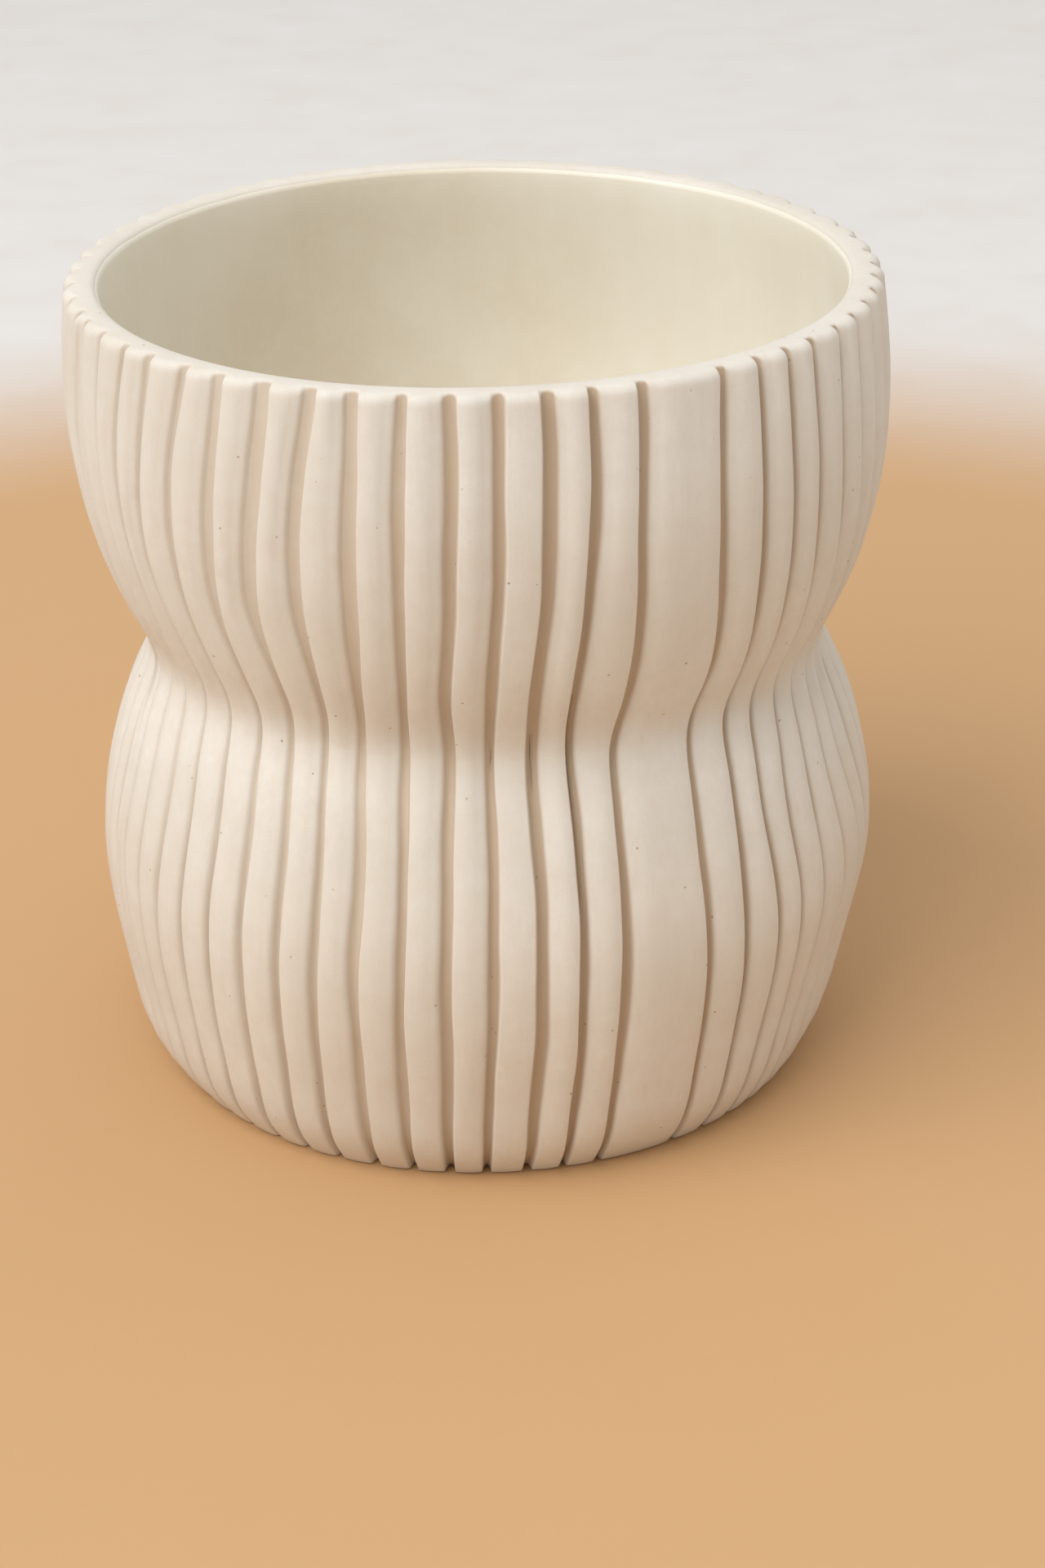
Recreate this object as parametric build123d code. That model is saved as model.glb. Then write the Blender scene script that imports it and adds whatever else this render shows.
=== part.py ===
"""Stoneware vase with an hourglass wall, carved all round with upright grooves.

Millimetres, +Z up. The origin is the centre of the foot, on the plane that the vase stands on.
The wall is built in two sections that are luted together at the waist, round a slab floor.
One band of the wall, BAND_ANGLE degrees round from the front (-Y), is left plain.
"""
from build123d import *
import os
from math import cos, degrees, radians

# Overall size
HEIGHT = 166.0
WAIST_Z = 91.0
FOOT_R = 66.8
WAIST_R = 69.8
RIM_R = 80.2

# The two bellies, where each is widest
LOWER_BELLY_R = 80.5
LOWER_BELLY_Z = 52.0
UPPER_BELLY_R = 81.8
UPPER_BELLY_Z = 139.0

# Clay and glaze thicknesses
WALL = 6.6
FLOOR = 8.0
GLAZE = 0.5

# Rounded edges of the rim
RIM_OUTER_ROUND = 2.0
RIM_INNER_ROUND = 1.6

# Carving: one plain band, and equal steps between all the other grooves
GROOVE_COUNT = 56
GROOVE_WIDTH = 3.4
GROOVE_DEPTH = 2.2
BAND_STEP = 14.0
BAND_ANGLE = 28.5
OVERCUT = 1.0

# Where the inside of the wall springs from the floor
SPRING_R = 59.6
COVE_R = 67.6
COVE_Z = FLOOR + 9.0


def outside(inset=0.0, top=HEIGHT):
    """Outside of the wall from foot to rim, moved inwards by inset."""
    outline = [
        (FOOT_R, 0.0),
        (FOOT_R + 6.0, 7.0),
        (FOOT_R + 9.6, 18.0),
        (LOWER_BELLY_R, LOWER_BELLY_Z),
        (LOWER_BELLY_R - 3.3, WAIST_Z - 21.0),
        (WAIST_R + 3.0, WAIST_Z - 8.5),
        (WAIST_R, WAIST_Z),
        (WAIST_R + 3.2, WAIST_Z + 10.5),
        (UPPER_BELLY_R - 3.6, WAIST_Z + 24.5),
        (UPPER_BELLY_R, UPPER_BELLY_Z),
        (RIM_R, top),
    ]
    return Spline(*[(radius - inset, 0.0, z) for radius, z in outline])


def hollow(coat=0.0):
    """Inside of the wall from the floor to the rim's inner edge, less a coat laid on it."""
    outline = [
        (SPRING_R - coat, FLOOR + coat),
        (COVE_R - coat, COVE_Z),
        (LOWER_BELLY_R - WALL - coat, LOWER_BELLY_Z),
        (LOWER_BELLY_R - WALL - 3.1 - coat, WAIST_Z - 21.0),
        (WAIST_R - WALL + 0.8 - coat, WAIST_Z),
        (UPPER_BELLY_R - WALL - 3.6 - coat, WAIST_Z + 24.5),
        (UPPER_BELLY_R - WALL - coat, UPPER_BELLY_Z),
        (RIM_R - WALL - coat, HEIGHT - RIM_INNER_ROUND),
    ]
    return Spline(*[(radius, 0.0, z) for radius, z in outline])


def round_edge(start_r, start_z, end_r, end_z):
    """Quarter round from a point on the wall to a point on the rim's flat top."""
    reach = end_r - start_r
    drop = end_z - start_z
    share = 1 - cos(radians(45))
    return ThreePointArc(
        (start_r, 0.0, start_z),
        (start_r + reach * share, 0.0, end_z - drop * share),
        (end_r, 0.0, end_z),
    )


def turned(*lines):
    """Solid made by turning a closed half section round the vase's axis."""
    return revolve(make_face(lines), Axis.Z, 360)


def groove_angles():
    """Middle of every groove in degrees round from the front, starting beside the plain band."""
    step = (360.0 - BAND_STEP) / (GROOVE_COUNT - 1)
    first = BAND_ANGLE + BAND_STEP / 2
    return [first + step * number for number in range(GROOVE_COUNT)]


def groove_cutters():
    """A ring of cutters, each with its inner edge on the line of the groove's floor."""
    groove_floor = outside(GROOVE_DEPTH)
    bottom = groove_floor @ 0
    top = groove_floor @ 1
    outer = UPPER_BELLY_R + OVERCUT
    sides = Polyline(
        top,
        (top.X, 0.0, top.Z + OVERCUT),
        (outer, 0.0, top.Z + OVERCUT),
        (outer, 0.0, bottom.Z - OVERCUT),
        (bottom.X, 0.0, bottom.Z - OVERCUT),
        bottom,
    )
    width = degrees(GROOVE_WIDTH / LOWER_BELLY_R)
    cutter = revolve(make_face([groove_floor, sides]), Axis.Z, width)
    return [Rot(0, 0, angle - 90 - width / 2) * cutter for angle in groove_angles()]


def carved_wall():
    """Whole wall from foot to rim, with a flat rim between two rounded edges, and its grooves."""
    outer_line = outside(top=HEIGHT - RIM_OUTER_ROUND)
    inner_line = hollow()
    lip_outer = RIM_R - RIM_OUTER_ROUND
    lip_inner = RIM_R - WALL + RIM_INNER_ROUND
    wall = turned(
        outer_line,
        round_edge(RIM_R, HEIGHT - RIM_OUTER_ROUND, lip_outer, HEIGHT),
        Line((lip_outer, 0.0, HEIGHT), (lip_inner, 0.0, HEIGHT)),
        round_edge(RIM_R - WALL, HEIGHT - RIM_INNER_ROUND, lip_inner, HEIGHT),
        inner_line,
        Line(inner_line @ 0, (SPRING_R, 0.0, 0.0)),
        Line((SPRING_R, 0.0, 0.0), outer_line @ 0),
    )
    return wall - groove_cutters()


def floor_disc():
    """Slab floor that the lower section stands round, flush with the foot."""
    return extrude(Circle(SPRING_R), FLOOR)


def interior_glaze():
    """Glaze over the floor and the inside of both sections, up to the rim's inner edge."""
    back, face = hollow(), hollow(GLAZE)
    return turned(
        Line((0.0, 0.0, FLOOR), back @ 0),
        back,
        Line(back @ 1, face @ 1),
        face,
        Line(face @ 0, (0.0, 0.0, FLOOR + GLAZE)),
        Line((0.0, 0.0, FLOOR + GLAZE), (0.0, 0.0, FLOOR)),
    )


def all_parts():
    """Every piece under its own name. The wall's two sections meet in a flat joint at the waist."""
    wall = carved_wall()
    joint = Plane.XY.offset(WAIST_Z)
    return {
        "lower_section": split(wall, joint, keep=Keep.BOTTOM),
        "upper_section": split(wall, joint, keep=Keep.TOP),
        "floor_disc": floor_disc(),
        "interior_glaze": interior_glaze(),
    }


os.makedirs("parts", exist_ok=True)
for node, shape in all_parts().items():
    export_step(shape, f"parts/{node}.step")
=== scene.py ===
"""Looks of a hand-built stoneware vase: two carved wall sections, a slab floor and a glazed inside.

Lengths are in millimetres until a mesh is made, which turns them into metres.
Angles go round the vase from the front (-Y) towards +X.
"""
import math

import bpy
import numpy as np
from mathutils import Matrix, Vector


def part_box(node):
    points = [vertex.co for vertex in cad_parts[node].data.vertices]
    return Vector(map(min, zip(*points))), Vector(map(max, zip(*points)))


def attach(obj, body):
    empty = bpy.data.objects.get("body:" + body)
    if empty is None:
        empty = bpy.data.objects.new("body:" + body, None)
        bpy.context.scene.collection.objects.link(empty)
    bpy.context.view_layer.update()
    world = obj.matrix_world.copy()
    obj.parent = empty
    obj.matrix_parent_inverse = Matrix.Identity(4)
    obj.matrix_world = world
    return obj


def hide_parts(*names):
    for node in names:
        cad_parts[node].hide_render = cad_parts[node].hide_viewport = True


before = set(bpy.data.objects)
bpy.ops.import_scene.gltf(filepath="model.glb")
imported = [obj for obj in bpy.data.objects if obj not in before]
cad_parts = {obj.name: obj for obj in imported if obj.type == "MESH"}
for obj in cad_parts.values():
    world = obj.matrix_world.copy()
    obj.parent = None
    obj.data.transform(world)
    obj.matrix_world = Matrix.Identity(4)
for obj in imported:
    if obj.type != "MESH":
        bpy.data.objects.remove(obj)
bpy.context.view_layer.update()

MM = 0.001
FULL_TURN = 2 * math.pi
SEED = 4471

# ---------------------------------------------------------------- sizes taken from the CAD frame

UPPER_LOW, UPPER_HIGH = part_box("upper_section")
_, LOWER_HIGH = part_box("lower_section")
_, SLAB_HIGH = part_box("floor_disc")

HEIGHT = UPPER_HIGH.z / MM
WAIST_Z = UPPER_LOW.z / MM
FLOOR = SLAB_HIGH.z / MM
SPRING_R = SLAB_HIGH.x / MM

# The CAD walls swell about this far past the widest points that they are drawn through
SWELL_PAST_POINTS = 0.1
LOWER_BELLY_R = LOWER_HIGH.x / MM - SWELL_PAST_POINTS
UPPER_BELLY_R = UPPER_HIGH.x / MM - SWELL_PAST_POINTS
FOOT_R = LOWER_BELLY_R - 13.7
WAIST_R = LOWER_BELLY_R - 11.1
RIM_R = UPPER_BELLY_R - 1.6

# Wall, glaze and edges. The glaze is down to a share of its thickness at the rim, and the
# hidden inside of the wall keeps a gap to the glaze's back.
WALL = 6.6
GLAZE = 0.5
THIN_AT_RIM = 0.45
GLAZE_EDGE_TURN = 32
HIDDEN_GAP = 0.5
RIM_ROUND_ON_RIB = 2.0
RIM_ROUND_IN_GROOVE = 0.7
RIM_INNER_ROUND = 1.6
FOOT_ROUND = 0.35

# The carving. A groove has a rounded shoulder on each side, small where its edge was left crisp,
# and larger, with the rib falling towards it, where it was wiped soft. Insets deeper than
# RIB_DEPTH count as cut. EDGE_BESIDE is from a groove's mouth to the edge that a path gives.
GROOVE_COUNT = 56
CRISP_SHOULDER = 0.35
SOFTER_BY = 1.15
CRISP_DROP = 0.2
RIB_DEPTH = 0.85
WALL_SLOPE = math.radians(74)
GROOVE_POWER = 3.2
EDGE_BESIDE = 0.3

# Outlines of the wall as (radius, z)
OUTSIDE = [
    (FOOT_R + 1.6, 0.0),
    (FOOT_R + 6.5, 7.0),
    (FOOT_R + 9.7, 18.0),
    (LOWER_BELLY_R, 52.0),
    (LOWER_BELLY_R - 3.2, WAIST_Z - 21.0),
    (WAIST_R + 3.3, WAIST_Z - 8.5),
    (WAIST_R, WAIST_Z),
    (WAIST_R + 3.5, WAIST_Z + 10.5),
    (UPPER_BELLY_R - 3.6, WAIST_Z + 24.5),
    (UPPER_BELLY_R, 139.0),
    (RIM_R, HEIGHT),
]
INSIDE = [
    (SPRING_R, FLOOR),
    (LOWER_BELLY_R - 12.9, FLOOR + 9.0),
    (LOWER_BELLY_R - WALL, 52.0),
    (LOWER_BELLY_R - WALL - 3.1, WAIST_Z - 21.0),
    (WAIST_R - WALL + 1.1, WAIST_Z),
    (UPPER_BELLY_R - WALL - 3.6, WAIST_Z + 24.5),
    (UPPER_BELLY_R - WALL, 139.0),
    (RIM_R - WALL, HEIGHT - RIM_INNER_ROUND),
]

# Where each groove that shows from the front runs, in degrees at these heights. Grooves 41 to 52
# have a crisp right edge and give its place, and grooves 53 to 6 have, and give, a crisp left edge.
PATH_HEIGHTS = [166, 143, 118, 98, 91, 80, 55, 15]
PATHS = {
    41: [-66.0, -68.0, -67.5, -69.0, -70.5, -68.4, -67.0, -66.0],
    42: [-60.0, -62.0, -61.5, -63.0, -64.5, -62.4, -61.0, -60.5],
    43: [-53.0, -56.2, -56.5, -57.5, -58.5, -56.0, -55.2, -55.0],
    44: [-47.3, -50.3, -51.6, -51.0, -52.0, -50.0, -49.0, -48.8],
    45: [-40.2, -43.7, -45.2, -45.0, -45.3, -43.6, -42.9, -43.3],
    46: [-34.2, -36.3, -38.4, -38.4, -38.6, -37.2, -36.6, -36.8],
    47: [-27.0, -29.3, -31.6, -31.6, -32.2, -30.8, -30.1, -30.6],
    48: [-20.4, -23.0, -24.5, -25.0, -25.7, -24.7, -24.2, -24.5],
    49: [-14.8, -15.9, -17.0, -18.7, -19.5, -18.4, -18.0, -17.8],
    50: [-8.4, -9.4, -10.5, -11.7, -12.1, -11.7, -11.5, -11.5],
    51: [-2.1, -2.8, -3.9, -5.1, -5.2, -5.2, -5.1, -5.2],
    52: [4.0, 3.4, 2.4, 1.3, 1.2, 1.4, 1.6, 1.0],
    53: [8.1, 7.6, 6.6, 5.5, 5.4, 5.6, 6.1, 5.7],
    54: [14.2, 13.6, 12.3, 11.4, 11.4, 11.7, 12.0, 11.7],
    55: [20.9, 20.1, 20.1, 19.6, 18.9, 18.2, 17.9, 17.7],
    0: [32.9, 32.0, 32.9, 33.5, 32.8, 31.3, 30.9, 31.7],
    1: [39.4, 39.0, 40.1, 41.1, 40.5, 38.8, 37.9, 38.4],
    2: [45.0, 44.7, 46.1, 47.2, 46.9, 44.5, 44.4, 44.6],
    3: [50.3, 50.2, 52.1, 53.7, 53.5, 50.5, 49.7, 50.0],
    4: [56.9, 56.3, 58.6, 60.2, 59.7, 56.7, 55.9, 55.0],
    5: [63.0, 62.2, 64.5, 66.0, 66.0, 62.5, 63.2, 60.5],
    6: [69.5, 68.0, 69.6, 71.5, 71.5, 68.0, 70.0, 66.5],
}
CRISP_ON_RIGHT = range(41, 53)
CRISP_ON_LEFT = (53, 54, 55, 0, 1, 2, 3, 4, 5, 6)

# Round the back: the share of the sway that goes on, how many grooves it fades over, and how
# far a groove slips sideways as a whole and at each height, in degrees
HIDDEN_SWAY = 0.5
SWAY_FADE = 3
SLIP_WHOLE = 0.25
SLIP_PER_HEIGHT = 0.12

# Grooves that were opened up further on the upper belly, and by how much
WIDER_ABOVE = {43: 0.4, 44: 0.6, 45: 0.7, 46: 1.2, 47: 1.6, 48: 0.9, 49: 0.5}

# ---------------------------------------------------------------- smooth curves


def spline_through(knots, values):
    """A natural cubic spline through values at rising knots, as a function."""
    knots, values = np.array(knots, float), np.array(values, float)
    gaps = np.diff(knots)
    shape = (-1,) + (1,) * (values.ndim - 1)
    slopes = np.diff(values, axis=0) / gaps.reshape(shape)
    system = np.eye(len(knots))
    target = np.zeros_like(values)
    for i in range(1, len(knots) - 1):
        system[i, i - 1 : i + 2] = gaps[i - 1], 2 * (gaps[i - 1] + gaps[i]), gaps[i]
        target[i] = 6 * (slopes[i] - slopes[i - 1])
    bend = np.linalg.solve(system, target)

    def at(place):
        place = np.clip(place, knots[0], knots[-1])
        span = np.clip(np.searchsorted(knots, place, side="right") - 1, 0, len(gaps) - 1)
        gap = gaps[span].reshape(shape)
        after = (place - knots[span]).reshape(shape) / gap
        before = 1.0 - after
        curve = before * values[span] + after * values[span + 1]
        return curve + gap**2 / 6 * ((before**3 - before) * bend[span] + (after**3 - after) * bend[span + 1])

    return at


class Outline:
    """A smooth curve through (radius, z) points, with z always rising."""

    SAMPLES = 3000

    def __init__(self, points):
        chords = np.linalg.norm(np.diff(np.array(points), axis=0), axis=1)
        knots = np.concatenate([[0.0], np.cumsum(chords)])
        curve = spline_through(knots, points)(np.linspace(0.0, knots[-1], self.SAMPLES))
        self.radius, self.z = curve[:, 0], curve[:, 1]
        slope = np.gradient(curve, axis=0)
        slope /= np.linalg.norm(slope, axis=1)[:, None]
        self.normal_r, self.normal_z = slope[:, 1], -slope[:, 0]
        steps = np.linalg.norm(np.diff(curve, axis=0), axis=1)
        self.length = np.concatenate([[0.0], np.cumsum(steps)])

    def radius_at(self, z):
        """Radius at a height. Below the lowest point the outline goes on straight."""
        on_curve = np.interp(z, self.z, self.radius)
        below = np.minimum(z - self.z[0], 0.0)
        return on_curve - below * self.normal_z[0] / self.normal_r[0]

    def normal_at(self, z):
        """Radial and upward parts of the outward normal."""
        return np.interp(z, self.z, self.normal_r), np.interp(z, self.z, self.normal_z)

    def heights(self, low, high, count):
        """Heights between two others, evenly spaced along the curve."""
        ends = np.interp([low, high], self.z, self.length)
        return np.interp(np.linspace(ends[0], ends[1], count), self.length, self.z)


outside = Outline(OUTSIDE)
inside = Outline(INSIDE)


def smooth_step(value, low, high):
    """0 below low, 1 above high, and an even S between them."""
    t = np.clip((value - low) / (high - low), 0.0, 1.0)
    return t * t * (3 - 2 * t)


# ---------------------------------------------------------------- how the hand made it uneven

LEAN_MIDDLE = 1.5
LEAN_TOP = 0.4

# Slow waves round the wall: size, how many go round it, phase, and millimetres up per radian
SWELLS = [(0.22, 2, 0.7, 60), (0.16, 3, 2.1, -45), (0.08, 5, 4.0, 28)]

# A spot low on the right that was pressed flatter: direction and width in degrees, and depth
FLAT_AT = 66
FLAT_WIDTH = 26
FLAT_DEPTH = 1.2


def body_shift(z):
    """How far the body's middle leans to the right of its foot at a height."""
    return LEAN_MIDDLE * np.sin(np.pi * z / HEIGHT) + LEAN_TOP * z / HEIGHT


def out_of_round(angle, z):
    """Slow swelling and flattening of the wall, in millimetres outwards."""
    swell = 0
    for size, waves, phase, length in SWELLS:
        swell = swell + size * np.sin(waves * angle + phase + z / length)
    turn = (np.degrees(angle) - FLAT_AT + 180) % 360 - 180
    flat = FLAT_DEPTH * np.exp(-((turn / FLAT_WIDTH) ** 2))
    flat = flat * (1 - smooth_step(z, 26, 50)) * smooth_step(z, 0, 8)
    return swell - flat


def placed(radius, angle, z):
    """Points from radius, angle and height, with the hand-made unevenness added."""
    radius = radius + out_of_round(angle, z)
    x = radius * np.sin(angle) + body_shift(z)
    y = -radius * np.cos(angle)
    lifted = z + 0.18 * np.sin(2 * angle + 1.0) * smooth_step(z, HEIGHT - 30, HEIGHT)
    return np.stack([x, y, lifted], axis=-1)


# ---------------------------------------------------------------- the grooves


class Carving:
    """Paths, widths and depths of the grooves, as a person cuts them by eye with a loop tool."""

    def __init__(self):
        dice = np.random.default_rng(SEED)
        self.width_share = 1 + 0.07 * dice.standard_normal(GROOVE_COUNT)
        self.depth_share = 1 + 0.06 * dice.standard_normal(GROOVE_COUNT)
        self.paths = self.all_paths(dice)
        self.wander = [self.path_noise(dice, [0.10, 0.06], [57, 29], 0.05, 30)
                       for _ in range(GROOVE_COUNT)]
        self.edges = [[self.path_noise(dice, [0.10, 0.07, 0.03], [61, 31, 15], 0.05, 22)
                       for _ in range(2)] for _ in range(GROOVE_COUNT)]

    @staticmethod
    def all_paths(dice):
        """Edge paths of all the grooves. The hidden ones are spread between those that show."""
        heights = PATH_HEIGHTS[::-1]
        hidden = [k for k in range(GROOVE_COUNT) if k not in PATHS]
        before, after = hidden[0] - 1, hidden[-1] + 1
        paths = {k: np.array(places) for k, places in PATHS.items()}
        for k in range(after, GROOVE_COUNT):
            paths[k] = paths[k] + 360
        for k in hidden:
            share = (k - before) / (after - before)
            slip = SLIP_WHOLE * dice.standard_normal()
            slip = slip + SLIP_PER_HEIGHT * dice.standard_normal(len(heights))
            path = paths[before] * (1 - share) + paths[after] * share
            fade = math.exp(-min(k - before, after - k) / SWAY_FADE)
            sway = HIDDEN_SWAY + (1 - HIDDEN_SWAY) * fade
            paths[k] = path.mean() + (path - path.mean()) * sway + slip
        return [spline_through(heights, paths[k][::-1]) for k in range(GROOVE_COUNT)]

    @staticmethod
    def path_noise(dice, sizes, lengths, kink, kink_step):
        """A smooth wander of several lengths, with slight kinks where the tool was set down again."""
        phases = dice.uniform(0, FULL_TURN, len(sizes))
        knots = np.arange(-20, 220, kink_step) + dice.uniform(-5, 5)
        offsets = kink * dice.standard_normal(len(knots))

        def at(z):
            total = np.interp(z, knots, offsets)
            for size, length, phase in zip(sizes, lengths, phases):
                total = total + size * np.sin(FULL_TURN * z / length + phase)
            return total

        return at

    def centre(self, k, z):
        """Angle of a groove's middle in radians."""
        inwards = -1 if k in CRISP_ON_RIGHT else 1
        offset = inwards * (self.usual_width(k, z) / 2 + EDGE_BESIDE)
        return np.radians(self.paths[k](z)) + (offset + self.wander[k](z)) / outside.radius_at(z)

    @staticmethod
    def softness(k, side):
        """0 where a groove's edge was left crisp, 1 where it was wiped soft."""
        if k in CRISP_ON_RIGHT:
            return 1 - side
        return side if k in CRISP_ON_LEFT else 0.6

    def shoulder(self, k, side, z):
        """Radius of the rounding beside a groove, and how far the rib has fallen where it starts."""
        soft = self.softness(k, side) * np.interp(z, [0, 5, 24], [0.1, 0.3, 1.0])[:, None]
        fall = np.interp(z, [50, 110], [0.35, 0.75])[:, None]
        drop = CRISP_DROP * np.interp(z, [0, 10], [0.5, 1.0])[:, None]
        return CRISP_SHOULDER + SOFTER_BY * soft, drop + soft * fall

    @staticmethod
    def usual_width(k, z):
        """Width of a groove's mouth before its own unevenness."""
        share = 0.86 if k in CRISP_ON_LEFT else 1.0
        heights = [0, 12, 50, 80, 91, 104, 135, 155, HEIGHT]
        return share * np.interp(z, heights, [1.9, 2.3, 2.5, 2.2, 1.95, 2.2, 2.6, 2.5, 2.4])

    def half_width(self, k, side, z):
        """Half the mouth of a groove on its left (0) or right (1), between its rounded shoulders."""
        half = self.usual_width(k, z) / 2 * self.width_share[k]
        if side == 0:
            belly = smooth_step(z, 102, 124) * (1 - 0.3 * smooth_step(z, 148, 164))
            half = half + WIDER_ABOVE.get(k, 0.0) * belly
        return half + self.edges[k][side](z) * (0.5 + 0.5 * smooth_step(z, 5, 20))

    def depth(self, k, z):
        """Depth of a groove in its middle."""
        heights = [0, 10, 55, 90, 135, HEIGHT]
        depths = [2.1, 2.3, 2.5, 2.2, 2.5, 2.3]
        return np.interp(z, heights, depths) * self.depth_share[k]


carving = Carving()

# Where the mesh has columns: in shares of a groove's half width, turns of its shoulder, and
# shares of the width of a rib and of the plain band
GROOVE_COLUMNS = np.array([-1.0, -0.87, -0.7, -0.4, 0.0, 0.4, 0.7, 0.87, 1.0])
SHOULDER_TURNS = np.array([0.0, 0.36, 0.7]) * WALL_SLOPE
RIB_COLUMNS = np.array([0.2, 0.42, 0.64, 0.84])
BAND_COLUMNS = np.linspace(0, 1, 15)[1:-1]

# Drying cracks in groove floors: groove, heights, sideways place in the groove, and width
CRACKS = {
    54: ([52, 67, 75, 84, 90, 95, 101, 106], [-0.30, -0.35, -0.35, -0.30, -0.30, -0.25, 0.0, 0.3],
         [0, 0.08, 0.12, 0.19, 0.22, 0.20, 0.13, 0]),
    53: ([84, 88, 92, 96], [0.15, 0.1, 0.0, -0.1], [0, 0.13, 0.16, 0]),
    52: ([88, 91, 94], [0.0, 0.0, 0.1], [0, 0.10, 0]),
}
CRACK_SLOPE = 2.2
WIDEST_CRACK = 0.3


def groove_floor(share):
    """Depth of a groove's rounded section, from 0 at its edge to 1 in its middle."""
    return 1 - np.abs(share) ** GROOVE_POWER


def crack_columns(k, z, half):
    """Column fractions of one groove, pinched together along its crack, and the crack's own depth."""
    shares = np.tile(GROOVE_COLUMNS, (len(z), 1))
    extra = np.zeros_like(shares)
    if k in CRACKS:
        heights, places, widths = CRACKS[k]
        place = np.interp(z, heights, places)
        width = np.interp(z, heights, widths, left=0, right=0)
        pinch = smooth_step(width, 0.0, 0.08)
        middle = len(GROOVE_COLUMNS) // 2
        for step in (-1, 0, 1):
            target = place + step * width / 2 / half
            shares[:, middle + step] += (target - shares[:, middle + step]) * pinch
        extra[:, middle] = width * CRACK_SLOPE
    return shares, extra


def shoulder_arc(radius, drop):
    """Sideways reach and inset along a rounded shoulder, from the crown down to the groove's wall."""
    reach = radius * (math.sin(WALL_SLOPE) - np.sin(SHOULDER_TURNS))[None, :]
    inset = drop + radius * (1 - np.cos(SHOULDER_TURNS))[None, :]
    return reach, inset, drop + radius * (1 - math.cos(WALL_SLOPE))


def groove_section(k, z):
    """Sideways places, insets and cut shares of one groove's columns, shoulders included."""
    left = carving.half_width(k, 0, z)[:, None]
    right = carving.half_width(k, 1, z)[:, None]
    depth = carving.depth(k, z)[:, None]
    left_reach, left_inset, left_edge = shoulder_arc(*carving.shoulder(k, 0, z))
    right_reach, right_inset, right_edge = shoulder_arc(*carving.shoulder(k, 1, z))
    shares, crack = crack_columns(k, z, (left[:, 0] + right[:, 0]) / 2)
    floor_u = np.where(shares < 0, shares * left, shares * right)
    edge = left_edge + (right_edge - left_edge) * (shares + 1) / 2
    floor_v = edge + (depth - edge) * groove_floor(shares) + crack
    sideways = np.hstack([-left - left_reach, floor_u, (right + right_reach)[:, ::-1]])
    inset = np.hstack([left_inset, floor_v, right_inset[:, ::-1]])
    cut = np.clip((inset - RIB_DEPTH) / (depth - RIB_DEPTH), 0, 1)
    middle = slice(len(SHOULDER_TURNS), len(SHOULDER_TURNS) + len(GROOVE_COLUMNS))
    cut[:, middle] += crack / CRACK_SLOPE / WIDEST_CRACK
    return sideways, inset, cut


def rib_section(k, z, start, end):
    """Angles and insets of the columns on the rib, or the plain band, after groove k."""
    is_band = k == GROOVE_COUNT - 1
    shares = BAND_COLUMNS if is_band else RIB_COLUMNS
    power = 6.0 if is_band else 2.2
    angle = start[:, None] + (end - start)[:, None] * shares[None, :]
    drop_left = carving.shoulder(k, 1, z)[1]
    drop_right = carving.shoulder((k + 1) % GROOVE_COUNT, 0, z)[1]
    crown = np.clip(drop_left / (drop_left + drop_right), 0.3, 0.7)
    inset = drop_left * np.maximum(1 - shares / crown, 0) ** power
    inset += drop_right * np.maximum((shares - crown) / (1 - crown), 0) ** power
    return angle, inset


def carved_columns(z):
    """Angle, inset and cut share of every column of the wall at every height."""
    radius = outside.radius_at(z)
    sections = []
    for k in range(GROOVE_COUNT):
        sideways, inset, cut = groove_section(k, z)
        middle = carving.centre(k, z)
        sections.append((middle[:, None] + sideways / radius[:, None], inset, cut))
    angles, insets, cuts = [], [], []
    for k, (angle, inset, cut) in enumerate(sections):
        following = sections[(k + 1) % GROOVE_COUNT][0][:, 0]
        if k == GROOVE_COUNT - 1:
            following = following + FULL_TURN
        rib_angle, rib_inset = rib_section(k, z, angle[:, -1], following)
        angles += [angle, rib_angle]
        insets += [inset, rib_inset]
        cuts += [cut, np.zeros_like(rib_inset)]
    return np.hstack(angles), np.hstack(insets), np.hstack(cuts)


# ---------------------------------------------------------------- mesh making


def ring_mesh(name, rows, cut=None, caps=False):
    """Quads between rings of points. The last ring joins the first, or both are capped."""
    count_rows, count_columns, _ = rows.shape
    index = np.arange(count_rows * count_columns).reshape(count_rows, count_columns)
    lower = index[:-1] if caps else index
    upper = index[1:] if caps else np.roll(index, -1, axis=0)
    quads = np.stack([lower, np.roll(lower, -1, 1), np.roll(upper, -1, 1), upper], -1).reshape(-1, 4)
    corners = quads.ravel()
    starts = np.arange(0, quads.size, 4)
    if caps:
        starts = np.append(starts, [len(corners), len(corners) + count_columns])
        corners = np.concatenate([corners, index[0, ::-1], index[-1]])
    mesh = bpy.data.meshes.new(name)
    mesh.vertices.add(index.size)
    mesh.vertices.foreach_set("co", (rows.reshape(-1, 3) * MM).astype(np.float32).ravel())
    mesh.loops.add(len(corners))
    mesh.loops.foreach_set("vertex_index", corners.astype(np.int32))
    mesh.polygons.add(len(starts))
    mesh.polygons.foreach_set("loop_start", starts.astype(np.int32))
    mesh.update(calc_edges=True)
    if cut is not None:
        field = mesh.attributes.new("cut", "FLOAT", "POINT")
        field.data.foreach_set("value", cut.astype(np.float32).ravel())
    mesh.validate()
    mesh.shade_smooth()
    piece = bpy.data.objects.new(name, mesh)
    bpy.context.scene.collection.objects.link(piece)
    return piece


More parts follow.
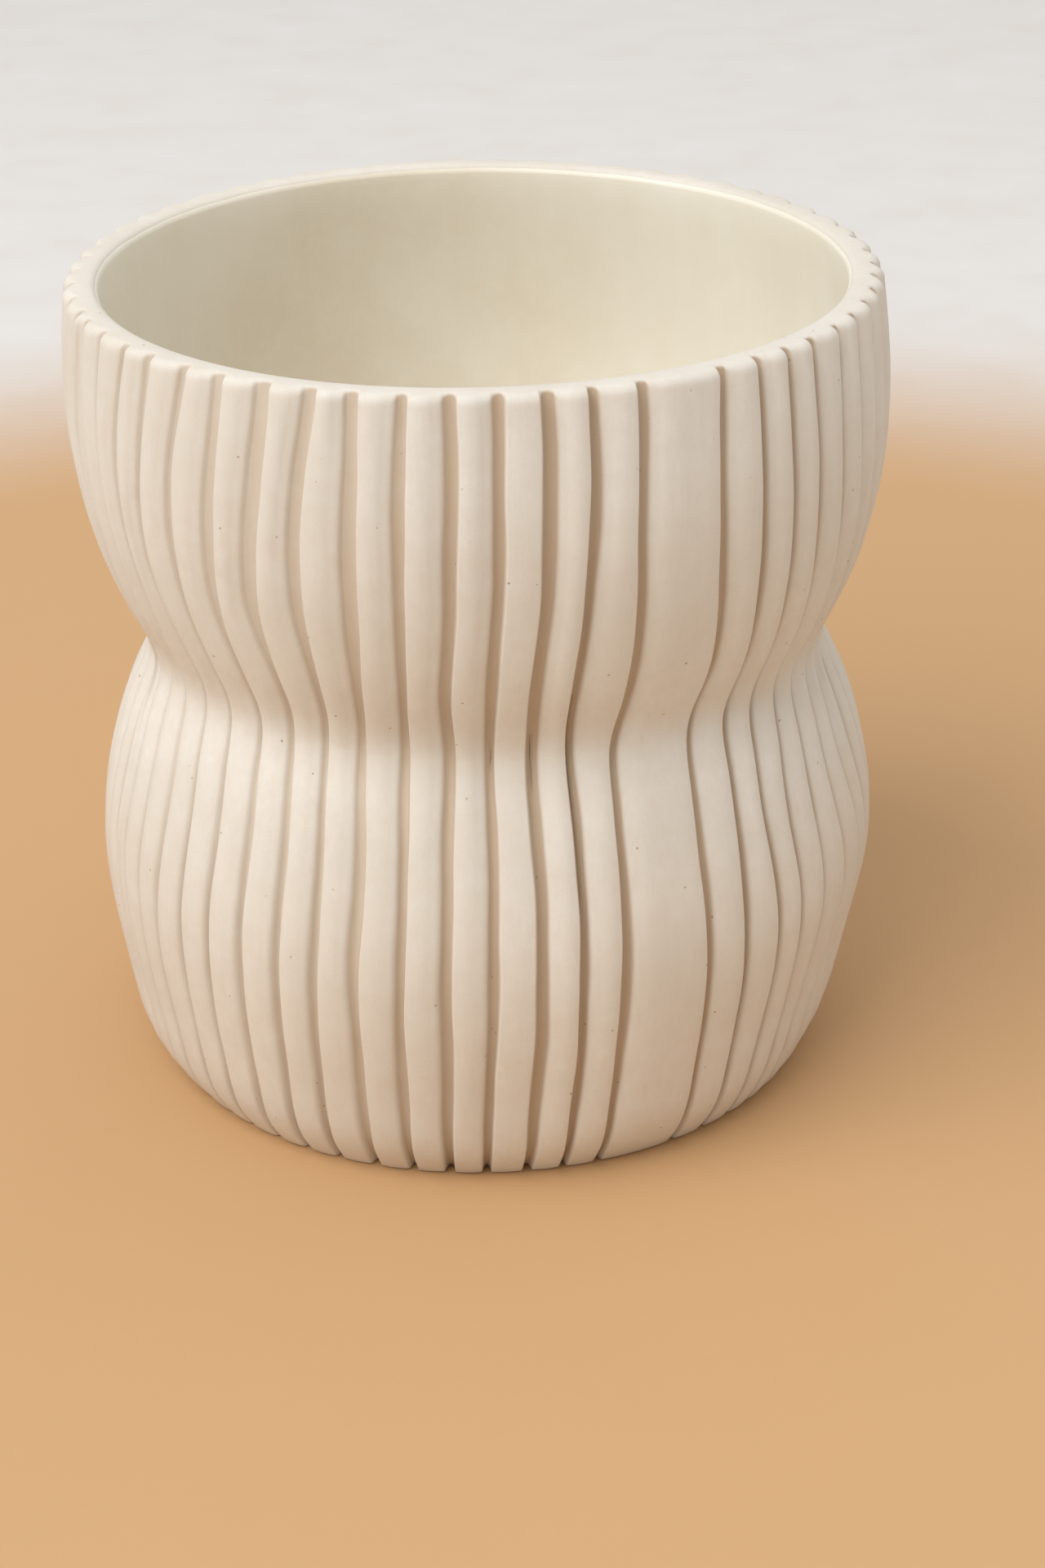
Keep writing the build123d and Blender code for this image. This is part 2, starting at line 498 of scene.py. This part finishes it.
def mark_sharp_rows(piece, columns, rows):
    """Marks the ring edges of some rows sharp, so that shading breaks there."""
    mesh = piece.data
    ends = np.zeros(len(mesh.edges) * 2, dtype=np.int32)
    mesh.edges.foreach_get("vertices", ends)
    ends = ends.reshape(-1, 2) // columns
    sharp = (ends[:, 0] == ends[:, 1]) & np.isin(ends[:, 0], rows)
    field = mesh.attributes.new("sharp_edge", "BOOLEAN", "EDGE")
    field.data.foreach_set("value", sharp)


def declared(piece, material, node):
    """Gives a piece its material, hangs it under the root body and hides the CAD part that it stands for."""
    piece.data.materials.append(material)
    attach(piece, "root")
    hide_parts(node)
    return piece


# ---------------------------------------------------------------- the pieces

# Rows of the wall meshes. The seam row is this far from the waist, so that the shading stays
# flat up to the joint, and the toe row is the outer edge of the foot.
SEAM_ROW = 0.15
TOE_ROW = 3
WALL_ROWS = 72
LOWER_HIDDEN_ROWS = 8
UPPER_HIDDEN_ROWS = 6


def wall_points(z_rows, base, inset):
    """The outline moved in along its normal by each column's inset. Base is where on the outline."""
    normal_r, normal_z = outside.normal_at(z_rows)
    radius = outside.radius_at(base) - inset * normal_r
    return radius, base - inset * normal_z


def ring_at(radius, angle, z):
    """One ring of points, from one radius and height or from one for each column."""
    shape = np.zeros_like(angle)
    return placed(shape + radius, angle, shape + z)


def lower_section(material):
    """Lower wall: grooves run out through the foot, and the joint at the waist is flat."""
    z = outside.heights(FOOT_ROUND, WAIST_Z, WALL_ROWS)
    z = np.concatenate([z[:-1], [WAIST_Z - SEAM_ROW, WAIST_Z]])[:, None]
    angle, inset, cut = carved_columns(z[:, 0])
    normal_z = outside.normal_at(z)[1]
    base = z + inset * np.minimum(normal_z, 0) * (1 - smooth_step(z, 3, 16))
    radius, height = wall_points(z, base, inset)
    height[-1] = WAIST_Z
    wall = placed(radius, angle, height)
    toe = radius[0] - FOOT_ROUND * 0.7
    foot = [
        ring_at(SPRING_R + 0.25, angle[0], 0.0),
        ring_at(SPRING_R + 2.4, angle[0], 0.0),
        ring_at(toe - FOOT_ROUND, angle[0], 0.0),
        ring_at(toe, angle[0], 0.12),
    ]
    falls = inside.heights(WAIST_Z, FLOOR, LOWER_HIDDEN_ROWS)
    hidden = [ring_at(inside.radius_at(fall) + HIDDEN_GAP, angle[-1], fall) for fall in falls]
    side = [ring_at(SPRING_R + 0.05, angle[0], 0.25)]
    rows = np.concatenate([np.stack(foot), wall, np.stack(hidden + side)])
    cuts = np.concatenate([np.zeros((len(foot), cut.shape[1])), cut,
                           np.zeros((LOWER_HIDDEN_ROWS + 1, cut.shape[1]))])
    cuts[2:4] = cut[0]
    piece = ring_mesh("lower_section_carved", rows, cuts)
    seam = len(foot) + len(z) - 1
    mark_sharp_rows(piece, cut.shape[1], [TOE_ROW, seam, seam + 1])
    return declared(piece, material, "lower_section")


def upper_section(material):
    """Upper wall: grooves end as rounded notches in the rim, which is flat between soft edges."""
    top = HEIGHT - RIM_ROUND_ON_RIB
    z = outside.heights(WAIST_Z, top, WALL_ROWS)
    z = np.concatenate([[WAIST_Z, WAIST_Z + SEAM_ROW], z[1:]])[:, None]
    angle, inset, cut = carved_columns(z[:, 0])
    edge_round = RIM_ROUND_ON_RIB + (RIM_ROUND_IN_GROOVE - RIM_ROUND_ON_RIB) * cut[-1]
    stretch_from = HEIGHT - 10
    stretch = (HEIGHT - edge_round - stretch_from) / (top - stretch_from)
    base = np.where(z > stretch_from, stretch_from + (z - stretch_from) * stretch, z + 0 * inset)
    radius, height = wall_points(z, base, inset)
    height[0] = WAIST_Z
    height[-1] = HEIGHT - edge_round
    wall = placed(radius, angle, height)
    last = angle[-1]
    rim = []
    for turn in np.radians([18, 36, 54, 72, 90]):
        rim.append(ring_at(radius[-1] - edge_round * (1 - np.cos(turn)), last,
                           HEIGHT - edge_round * (1 - np.sin(turn))))
    lip = RIM_R - WALL + RIM_INNER_ROUND
    rim.append(ring_at(lip + 1.4, last, HEIGHT + 0.05))
    for turn in np.radians([90, 67, 45, 22, 0]):
        rim.append(ring_at(lip - RIM_INNER_ROUND * np.cos(turn), last,
                           HEIGHT - RIM_INNER_ROUND * (1 - np.sin(turn))))
    falls = inside.heights(HEIGHT - 6, WAIST_Z, UPPER_HIDDEN_ROWS)
    hidden = [ring_at(inside.radius_at(fall) + HIDDEN_GAP, last, fall) for fall in falls[:-1]]
    hidden.append(ring_at(inside.radius_at(WAIST_Z) + HIDDEN_GAP, angle[0], WAIST_Z))
    rows = np.concatenate([wall, np.stack(rim + hidden)])
    fades = [0.8, 0.5, 0.25, 0.1] + [0] * (len(rim) + len(hidden) - 4)
    cuts = np.concatenate([cut, np.array(fades)[:, None] * cut[-1]])
    piece = ring_mesh("upper_section_carved", rows, cuts)
    mark_sharp_rows(piece, cut.shape[1], [0, len(rows) - 1])
    return declared(piece, material, "upper_section")


def floor_disc(material):
    """Slab floor, flush with the foot ring, with a softened edge where it was pressed in."""
    angle = np.linspace(0, FULL_TURN, 180, endpoint=False)
    under = [(4, 0), (20, 0), (36, 0), (50, 0)]
    under += [(SPRING_R - 1.2, 0.0), (SPRING_R - 0.3, 0.1), (SPRING_R - 0.05, 0.4)]
    over = [(SPRING_R - 0.1, FLOOR - 1.0), (SPRING_R - 1.0, FLOOR - 0.3), (40, FLOOR - 0.3), (4, FLOOR - 0.3)]
    rows = np.stack([ring_at(radius, angle, z) for radius, z in under + over])
    piece = ring_mesh("floor_slab", rows, np.zeros(rows.shape[:2]), caps=True)
    return declared(piece, material, "floor_disc")


def interior_glaze(material):
    """Glaze coat over the floor and the inside, climbing onto the rim's inner edge with an uneven line."""
    angle = np.linspace(0, FULL_TURN, 300, endpoint=False)
    dice = np.random.default_rng(SEED + 1)
    edge = np.radians(GLAZE_EDGE_TURN) + np.radians(2.2) * np.sin(3 * angle + 1.0)
    edge = edge + np.radians(1.6) * np.sin(8 * angle + 2.0)
    for count in (17, 29, 43):
        edge = edge + np.radians(0.9) * np.sin(count * angle + dice.uniform(0, FULL_TURN))
    start = HEIGHT - RIM_INNER_ROUND
    lip = RIM_R - WALL + RIM_INNER_ROUND

    def coat(z):
        """Thickness of the glaze on the wall, which thins towards the rim."""
        return GLAZE * (1 - (1 - THIN_AT_RIM) * smooth_step(z, start - 5, start))

    def lip_ring(share, proud):
        turn = edge * share
        reach = RIM_INNER_ROUND + proud
        return ring_at(lip - reach * np.cos(turn), angle, start + reach * np.sin(turn))

    climb = inside.heights(FLOOR, start, 90)
    back = [ring_at(radius, angle, FLOOR) for radius in (3, 30, 56)]
    back += [ring_at(inside.radius_at(z) + 0.05, angle, z) for z in climb[::6]]
    back += [lip_ring(share, -0.05) for share in (0.25, 0.5, 0.75)]
    bead = [lip_ring(1.10, -0.05)]
    for share in (1.0, 0.92, 0.82, 0.7, 0.5, 0.3, 0.1):
        bead.append(lip_ring(share, THIN_AT_RIM * GLAZE * (1 - share)))
    front = [ring_at(inside.radius_at(z) - coat(z), angle, z) for z in climb[::-1][:-2]]
    pool = [(SPRING_R - 0.9, FLOOR + 0.95), (SPRING_R - 2.4, FLOOR + 0.65), (SPRING_R - 5, FLOOR + GLAZE)]
    pool += [(radius, FLOOR + GLAZE) for radius in (46, 34, 20, 3)]
    front += [ring_at(radius, angle, z) for radius, z in pool]
    rows = np.stack(back + bead + front)
    piece = ring_mesh("interior_glaze_coat", rows, caps=True)
    return declared(piece, material, "interior_glaze")


# ---------------------------------------------------------------- materials


def srgb(red, green, blue):
    """Linear colour from 0-255 screen values."""
    return tuple(((c / 255 + 0.055) / 1.055) ** 2.4 if c > 10 else c / 255 / 12.92
                 for c in (red, green, blue)) + (1.0,)


class Nodes:
    """Short ways to add shader nodes to one material."""

    def __init__(self, name):
        self.material = bpy.data.materials.new(name)
        self.material.use_nodes = True
        self.tree = self.material.node_tree
        self.shader = self.tree.nodes["Principled BSDF"]
        self.place = self.add("ShaderNodeTexCoord").outputs["Object"]

    def add(self, kind, **settings):
        """A new node with some of its properties set."""
        node = self.tree.nodes.new(kind)
        for key, value in settings.items():
            setattr(node, key, value)
        return node

    def link(self, source, target):
        self.tree.links.new(source, target)

    def stretched(self, scale):
        """Object coordinates with their own scale along each axis."""
        node = self.add("ShaderNodeMapping")
        node.inputs["Scale"].default_value = scale
        self.link(self.place, node.inputs["Vector"])
        return node.outputs["Vector"]

    def noise(self, scale, detail=3.0, roughness=0.5, at=None):
        """Fractal noise between 0 and 1 in object coordinates, or others."""
        node = self.add("ShaderNodeTexNoise")
        node.inputs["Scale"].default_value = scale
        node.inputs["Detail"].default_value = detail
        node.inputs["Roughness"].default_value = roughness
        self.link(at or self.place, node.inputs["Vector"])
        return node.outputs["Fac"]

    def remap(self, value, low, high, out_low=0.0, out_high=1.0, smooth=False):
        """A value taken from one range to another, clamped at both ends."""
        node = self.add("ShaderNodeMapRange", interpolation_type="SMOOTHSTEP" if smooth else "LINEAR")
        numbers = {"From Min": low, "From Max": high, "To Min": out_low, "To Max": out_high}
        for socket, number in numbers.items():
            node.inputs[socket].default_value = number
        self.link(value, node.inputs["Value"])
        return node.outputs["Result"]

    def maths(self, operation, first, second=None):
        """One sum on sockets or numbers."""
        node = self.add("ShaderNodeMath", operation=operation)
        for socket, value in zip(node.inputs, (first, second)):
            if isinstance(value, (int, float)):
                socket.default_value = value
            elif value is not None:
                self.link(value, socket)
        return node.outputs["Value"]

    def mix(self, share, first, second):
        """The first colour going over to the second with the share."""
        node = self.add("ShaderNodeMix", data_type="RGBA")
        for socket, value in zip((node.inputs[0], node.inputs[6], node.inputs[7]), (share, first, second)):
            if isinstance(value, (int, float, tuple)):
                socket.default_value = value
            else:
                self.link(value, socket)
        return node.outputs[2]

    def specks(self, scale, kept, size):
        """Small round spots, one in a few of the cells of a random pattern."""
        node = self.add("ShaderNodeTexVoronoi")
        node.inputs["Scale"].default_value = scale
        self.link(self.place, node.inputs["Vector"])
        spot = self.remap(node.outputs["Distance"], size * scale, size * scale * 0.45, smooth=True)
        split = self.add("ShaderNodeSeparateColor")
        self.link(node.outputs["Color"], split.inputs["Color"])
        chosen = self.maths("LESS_THAN", split.outputs["Red"], kept)
        return self.maths("MULTIPLY", spot, chosen), split.outputs["Green"]

    def bump(self, height, strength, distance, under=None):
        """A normal bent by a height field, on top of another one if given."""
        node = self.add("ShaderNodeBump")
        node.inputs["Strength"].default_value = strength
        node.inputs["Distance"].default_value = distance
        self.link(height, node.inputs["Height"])
        if under:
            self.link(under, node.inputs["Normal"])
        return node.outputs["Normal"]


def stoneware_material():
    """Smooth unglazed pale stoneware: fine grain, faint clouds, few iron specks, rougher where cut, with
    painted shade in the grooves and cracks.
    """
    n = Nodes("stoneware_bisque")
    cut = n.add("ShaderNodeAttribute", attribute_name="cut").outputs["Fac"]
    clouds = n.remap(n.noise(28, 3.0), 0.3, 0.7, smooth=True)
    base = n.mix(clouds, srgb(221, 216, 206), srgb(228, 224, 216))
    patches = n.remap(n.noise(210, 4.0, 0.6), 0.35, 0.7)
    base = n.mix(n.maths("MULTIPLY", patches, 0.35), base, srgb(217, 205, 190))
    streak = n.remap(n.noise(1.0, 3.0, 0.55, n.stretched((900, 900, 36))), 0.3, 0.75)
    base = n.mix(n.maths("MULTIPLY", streak, 0.22), base, srgb(211, 198, 182))
    # Painted shade in the grooves: the cut parts go towards a warm brown, less on the left side and at the
    # back of the vase.
    axes = n.add("ShaderNodeSeparateXYZ")
    n.link(n.place, axes.inputs["Vector"])
    groove_shade_by_side = n.remap(axes.outputs["X"], -0.055, 0.02, 0.42, 1.0, smooth=True)
    behind = n.remap(axes.outputs["Y"], -0.055, 0.015, 1.0, 0.58, smooth=True)
    groove_shade_by_side = n.maths("MULTIPLY", groove_shade_by_side, behind)
    groove_shade = n.remap(cut, 0.05, 0.85, 0.0, 0.68, smooth=True)
    groove_shade = n.maths("MULTIPLY", groove_shade, groove_shade_by_side)
    base = n.mix(groove_shade, base, srgb(177, 146, 108))
    grain = n.noise(2600, 2.0, 0.6)
    base = n.mix(n.remap(grain, 0.25, 0.8, 0.0, 0.16), base, srgb(198, 183, 165))
    speck, shade = n.specks(210, 0.5, 0.00034)
    brown = n.mix(shade, srgb(150, 120, 90), srgb(190, 162, 132))
    base = n.mix(n.maths("MULTIPLY", speck, 0.75), base, brown)
    fleck, _ = n.specks(420, 0.07, 0.00013)
    base = n.mix(n.maths("MULTIPLY", fleck, 0.6), base, srgb(128, 96, 70))
    # Painted shade deep in the cracks: where the cut share goes past 1 the colour goes to a dark brown.
    crack = n.remap(cut, 1.15, 1.6, smooth=True)
    base = n.mix(crack, base, srgb(92, 66, 44))
    n.link(base, n.shader.inputs["Base Color"])
    rough = n.remap(n.noise(320, 3.0), 0.3, 0.7, 0.54, 0.66)
    rough = n.maths("ADD", rough, n.remap(cut, 0.2, 0.9, 0.0, 0.12))
    n.link(rough, n.shader.inputs["Roughness"])
    n.shader.inputs["Specular IOR Level"].default_value = 0.36
    drag = n.noise(1.0, 4.0, 0.6, n.stretched((2600, 2600, 90)))
    drag = n.maths("MULTIPLY", drag, n.remap(cut, 0.2, 0.9, 0.25, 1.0))
    normal = n.bump(drag, 0.35, 0.00012)
    normal = n.bump(n.noise(260, 3.0), 0.20, 0.0003, normal)
    normal = n.bump(grain, 0.25, 0.00006, normal)
    pits = n.maths("MULTIPLY", fleck, -1.0)
    normal = n.bump(pits, 0.5, 0.0001, normal)
    n.link(normal, n.shader.inputs["Normal"])
    return n.material


def glaze_material():
    """Satin cream glaze with a green cast: thin where it ran, clouded, with soft upright streaks, and darker
    in the back partly as painted shade.
    """
    n = Nodes("cream_glaze")
    clouds = n.remap(n.noise(22, 4.0, 0.55), 0.32, 0.68, smooth=True)
    base = n.mix(clouds, srgb(237, 231, 216), srgb(243, 239, 228))
    runs = n.remap(n.noise(1.0, 4.0, 0.6, n.stretched((150, 150, 14))), 0.35, 0.75)
    base = n.mix(n.maths("MULTIPLY", runs, 0.18), base, srgb(222, 212, 190))
    # Darker brownish patch round a point on the inside's back wall, a little left of the middle: partly a
    # brown cloud in the glaze, partly painted shade of the depth.
    spread = n.add("ShaderNodeVectorMath", operation="DISTANCE")
    n.link(n.place, spread.inputs[0])
    spread.inputs[1].default_value = (-0.018, 0.075, 0.125)
    cloud_and_depth_shade = n.remap(spread.outputs["Value"], 0.085, 0.015, smooth=True)
    patchy = n.remap(n.noise(34, 3.0), 0.3, 0.7, 0.55, 1.0)
    cloud_and_depth_shade = n.maths("MULTIPLY", cloud_and_depth_shade, patchy)
    base = n.mix(n.maths("MULTIPLY", cloud_and_depth_shade, 0.75), base, srgb(213, 196, 168))
    break_up = n.remap(n.noise(420, 4.0, 0.65), 0.45, 0.8)
    base = n.mix(n.maths("MULTIPLY", break_up, 0.25), base, srgb(236, 230, 214))
    n.link(base, n.shader.inputs["Base Color"])
    n.link(n.remap(n.noise(60, 3.0), 0.3, 0.7, 0.34, 0.48), n.shader.inputs["Roughness"])
    n.shader.inputs["Specular IOR Level"].default_value = 0.42
    normal = n.bump(n.noise(1.0, 3.0, 0.5, n.stretched((120, 120, 30))), 0.25, 0.0006)
    normal = n.bump(n.noise(900, 2.0), 0.15, 0.00005, normal)
    n.link(normal, n.shader.inputs["Normal"])
    return n.material


def stage_material():
    """Plain pale floor, warm near the vase and cooler far away."""
    n = Nodes("stage_floor")
    distance = n.add("ShaderNodeVectorMath", operation="LENGTH")
    n.link(n.place, distance.inputs[0])
    far = n.remap(distance.outputs["Value"], 0.33, 0.52, smooth=True)
    base = n.mix(far, srgb(203, 162, 116), srgb(228, 226, 224))
    base = n.mix(n.remap(n.noise(30, 3.0), 0.3, 0.7, 0.0, 0.1), base, srgb(196, 156, 112))
    n.link(base, n.shader.inputs["Base Color"])
    n.shader.inputs["Roughness"].default_value = 0.7
    return n.material


# ---------------------------------------------------------------- stage, light and camera


def make_stage():
    """A wide floor just under the vase."""
    bpy.ops.mesh.primitive_circle_add(vertices=96, radius=4.0, fill_type="NGON", location=(0, 0, -0.0002))
    floor = bpy.context.object
    floor.name = "stage_floor"
    floor.data.materials.append(stage_material())


def soft_light(name, place, aim, size, power, colour):
    """A large rectangular lamp turned towards a point."""
    lamp = bpy.data.lights.new(name, "AREA")
    lamp.shape = "RECTANGLE"
    lamp.size, lamp.size_y = size
    lamp.energy = power
    lamp.color = colour
    holder = bpy.data.objects.new(name, lamp)
    bpy.context.scene.collection.objects.link(holder)
    holder.location = place
    holder.rotation_euler = (Vector(aim) - Vector(place)).to_track_quat("-Z", "Y").to_euler()


def make_lights():
    """Window light from the upper left, weak light behind and at the right, and a pale room."""
    aim = (0, 0, 0.08)
    soft_light("key", (-1.15, -1.05, 2.0), aim, (2.2, 2.0), 50, (1.0, 1.0, 0.995))
    soft_light("overhead", (0.9, 0.8, 2.2), (0, 0.2, 0), (2.2, 2.2), 10, (1.0, 1.0, 1.0))
    soft_light("fill", (1.7, -0.3, 0.5), aim, (1.2, 1.0), 1.0, (1.0, 0.90, 0.76))
    world = bpy.data.worlds.new("pale_room")
    world.use_nodes = True
    sky = world.node_tree.nodes["Background"]
    sky.inputs["Color"].default_value = (1.0, 0.985, 0.96, 1.0)
    sky.inputs["Strength"].default_value = 0.55
    bpy.context.scene.world = world
    bpy.context.scene.view_settings.view_transform = "Standard"


def make_camera():
    """Camera in front of the vase, above its rim, looking down at it."""
    place = Vector((0.0, -0.6390, 0.3577))
    down, aside, roll = math.radians(25.496), math.radians(0.785), math.radians(-0.663)
    ahead = Vector((math.sin(aside) * math.cos(down), math.cos(aside) * math.cos(down), -math.sin(down)))
    right = Vector((math.cos(aside), -math.sin(aside), 0.0))
    above = right.cross(ahead)
    across = right * math.cos(roll) + above * math.sin(roll)
    upwards = above * math.cos(roll) - right * math.sin(roll)
    lens = bpy.data.cameras.new("camera")
    lens.lens = 77.09
    lens.sensor_width = 36.0
    lens.clip_start = 0.01
    camera = bpy.data.objects.new("camera", lens)
    bpy.context.scene.collection.objects.link(camera)
    turned = Matrix((across, upwards, -ahead)).transposed()
    camera.matrix_world = Matrix.Translation(place) @ turned.to_4x4()
    bpy.context.scene.camera = camera


stoneware = stoneware_material()
lower_section(stoneware)
upper_section(stoneware)
floor_disc(stoneware)
interior_glaze(glaze_material())
make_stage()
make_lights()
make_camera()
